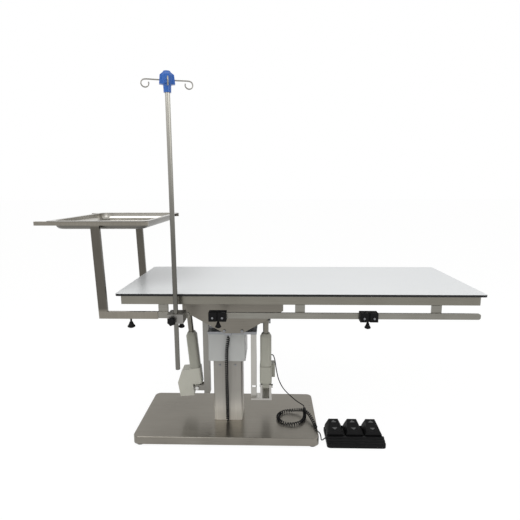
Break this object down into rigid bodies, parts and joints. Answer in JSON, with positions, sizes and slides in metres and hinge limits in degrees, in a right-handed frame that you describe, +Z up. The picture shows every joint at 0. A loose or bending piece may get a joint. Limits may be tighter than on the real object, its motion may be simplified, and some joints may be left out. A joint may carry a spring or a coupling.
{
  "type": "veterinary_exam_table",
  "caption": "Electric veterinary exam table: laminate top on a two-axis tilting head over a lifting column, with rails, clamps, infusion pole, instrument tray and foot switch.",
  "frame": {"origin": "on the floor, under the middle of the bounding box without the cords", "axes": "+X along the table top towards its long overhang, +Y across it away from the infusion pole, +Z up"},
  "size_m": [1.815, 0.7124, 1.583],
  "materials": {
    "stainless": "satin",
    "galvanised": "satin",
    "bright_steel": "polished",
    "aluminium": "satin",
    "painted_grey": "satin",
    "laminate": "satin",
    "motor_plastic": "matte",
    "black_plastic": "matte",
    "blue_plastic": "gloss",
    "rubber": "matte"
  },
  "bodies": {
    "base": {"base_cover": "stainless", "base_frame": "galvanised", "foot_front_left": "rubber", "foot_front_right": "rubber", "foot_rear_left": "rubber", "foot_rear_right": "rubber", "mains_inlet": "black_plastic", "column_outer": "aluminium", "column_glide": "black_plastic", "lift_drive": "galvanised", "footswitch_base": "black_plastic", "foot_cord_curls": "rubber", "foot_cord_tail": "rubber"},
    "lift": {"column_inner": "aluminium", "column_shroud": "painted_grey", "lift_head": "galvanised", "lift_push_rod": "bright_steel", "lateral_arm": "stainless", "lateral_lower_pin": "bright_steel", "control_box": "motor_plastic", "column_curly_cord": "rubber", "foot_cord_lead": "rubber"},
    "lateral_actuator": {"lateral_motor": "motor_plastic", "lateral_tube": "motor_plastic"},
    "lateral_piston": {"lateral_rod": "bright_steel"},
    "cradle": {"cradle_shaft": "galvanised", "tilt_shaft": "bright_steel", "long_arm": "stainless", "long_lower_pin": "bright_steel", "lateral_lever": "galvanised"},
    "long_actuator": {"long_motor": "motor_plastic", "long_tube": "motor_plastic"},
    "long_piston": {"long_rod": "bright_steel"},
    "table": {"tilt_housing": "stainless", "table_frame": "stainless", "table_top": "laminate", "rail_front_long": "stainless", "rail_front_short": "stainless", "rail_rear_long": "stainless", "rail_rear_short": "stainless", "iv_clamp": "stainless"},
    "rail_clamp_a": {"rail_clamp_a": "black_plastic"},
    "clamp_a_knob": {"rail_clamp_a_knob": "black_plastic"},
    "rail_clamp_b": {"rail_clamp_b": "black_plastic"},
    "clamp_b_knob": {"rail_clamp_b_knob": "black_plastic"},
    "iv_pole": {"iv_pole": "stainless"},
    "iv_head": {"iv_hub": "blue_plastic", "iv_hook_long": "bright_steel", "iv_hook_cross": "bright_steel"},
    "iv_star_knob": {"iv_star_knob": "black_plastic"},
    "iv_rail_knob": {"iv_rail_knob": "black_plastic"},
    "tray_bracket_front": {"tray_bracket_front": "stainless"},
    "tray_bracket_rear": {"tray_bracket_rear": "stainless"},
    "tray": {"tray_pan": "stainless"},
    "tray_knob_front": {"tray_knob_front": "black_plastic"},
    "tray_knob_rear": {"tray_knob_rear": "black_plastic"},
    "pedal_left": {"pedal_left": "black_plastic"},
    "pedal_middle": {"pedal_middle": "black_plastic"},
    "pedal_right": {"pedal_right": "black_plastic"}
  },
  "joints": [
    {"name": "column_lift", "type": "slide", "parent": "base", "child": "lift", "axis": [0, 0, 1], "range_m": [0, 0.3], "deforming": ["column_curly_cord", "foot_cord_lead"]},
    {"name": "lateral_tilt", "type": "hinge", "parent": "lift", "child": "cradle", "pos_m": [-0.1625, 0.05623, 0.596], "axis": [1, 0, 0], "range_deg": [-12, 12]},
    {"name": "lateral_actuator_swing", "type": "hinge", "parent": "lift", "child": "lateral_actuator", "pos_m": [0.0195, -0.02877, 0.238], "axis": [1, 0, 0], "range_deg": [-1.5, 1.5]},
    {"name": "lateral_actuator_stroke", "type": "slide", "parent": "lateral_actuator", "child": "lateral_piston", "axis": [0, 0, 1], "range_m": [-0.018, 0.018]},
    {"name": "long_tilt", "type": "hinge", "parent": "cradle", "child": "table", "pos_m": [-0.1625, 0.05623, 0.596], "axis": [0, 1, 0], "range_deg": [-12, 12]},
    {"name": "long_actuator_swing", "type": "hinge", "parent": "cradle", "child": "long_actuator", "pos_m": [-0.3185, 0.05623, 0.192], "axis": [0, 1, 0], "range_deg": [-0.5, 0.5]},
    {"name": "long_actuator_stroke", "type": "slide", "parent": "long_actuator", "child": "long_piston", "axis": [-0.0862, 0, 0.9963], "range_m": [-0.0405, 0.0405]},
    {"name": "clamp_a_slide", "type": "slide", "parent": "table", "child": "rail_clamp_a", "axis": [1, 0, 0], "range_m": [0, 0.26]},
    {"name": "clamp_a_screw", "type": "hinge", "parent": "rail_clamp_a", "child": "clamp_a_knob", "pos_m": [-0.1755, -0.22377, 0.62], "axis": [0, 0, 1], "continuous": true},
    {"name": "clamp_b_slide", "type": "slide", "parent": "table", "child": "rail_clamp_b", "axis": [1, 0, 0], "range_m": [-0.2, 0.2]},
    {"name": "clamp_b_screw", "type": "hinge", "parent": "rail_clamp_b", "child": "clamp_b_knob", "pos_m": [0.4395, -0.22377, 0.62], "axis": [0, 0, 1], "continuous": true},
    {"name": "pole_height", "type": "slide", "parent": "table", "child": "iv_pole", "axis": [0, 0, 1], "range_m": [-0.1, 0.2]},
    {"name": "pole_turn", "type": "hinge", "parent": "iv_pole", "child": "iv_head", "pos_m": [-0.3405, -0.26377, 1.545], "axis": [0, 0, 1], "continuous": true},
    {"name": "pole_screw", "type": "hinge", "parent": "table", "child": "iv_star_knob", "pos_m": [-0.3405, -0.26377, 0.6372], "axis": [-0.3987, -0.9171, 0], "continuous": true},
    {"name": "iv_clamp_screw", "type": "hinge", "parent": "table", "child": "iv_rail_knob", "pos_m": [-0.3275, -0.22377, 0.62], "axis": [0, 0, 1], "continuous": true},
    {"name": "tray_reach", "type": "slide", "parent": "table", "child": "tray_bracket_front", "axis": [1, 0, 0], "range_m": [-0.12, 0]},
    {"name": "tray_reach_rear", "type": "slide", "parent": "table", "child": "tray_bracket_rear", "axis": [1, 0, 0], "range_m": [-0.12, 0]},
    {"name": "tray_lift_off", "type": "slide", "parent": "tray_bracket_front", "child": "tray", "axis": [0, 0, 1], "range_m": [0, 0.12]},
    {"name": "tray_screw_front", "type": "hinge", "parent": "tray_bracket_front", "child": "tray_knob_front", "pos_m": [-0.5375, -0.22377, 0.62], "axis": [0, 0, 1], "continuous": true},
    {"name": "tray_screw_rear", "type": "hinge", "parent": "tray_bracket_rear", "child": "tray_knob_rear", "pos_m": [-0.5375, 0.33623, 0.62], "axis": [0, 0, 1], "continuous": true},
    {"name": "pedal_left_rock", "type": "hinge", "parent": "base", "child": "pedal_left", "pos_m": [0.3435, -0.04777, 0.021], "axis": [1, 0, 0], "range_deg": [-4.5, 4.5], "stiffness_Nm_per_rad": 4},
    {"name": "pedal_middle_rock", "type": "hinge", "parent": "base", "child": "pedal_middle", "pos_m": [0.4315, -0.04777, 0.021], "axis": [1, 0, 0], "range_deg": [-4.5, 4.5], "stiffness_Nm_per_rad": 4},
    {"name": "pedal_right_rock", "type": "hinge", "parent": "base", "child": "pedal_right", "pos_m": [0.5195, -0.04777, 0.021], "axis": [1, 0, 0], "range_deg": [-4.5, 4.5], "stiffness_Nm_per_rad": 4}
  ],
  "couplings": [
    {"joint": "lateral_actuator_swing", "follows": "lateral_tilt", "ratio": -0.1118},
    {"joint": "lateral_actuator_stroke", "follows": "lateral_tilt", "m_per_rad": -0.085},
    {"joint": "long_actuator_swing", "follows": "long_tilt", "ratio": 0.0137},
    {"joint": "long_actuator_stroke", "follows": "long_tilt", "m_per_rad": 0.1902},
    {"joint": "tray_reach_rear", "follows": "tray_reach", "ratio": 1}
  ]
}
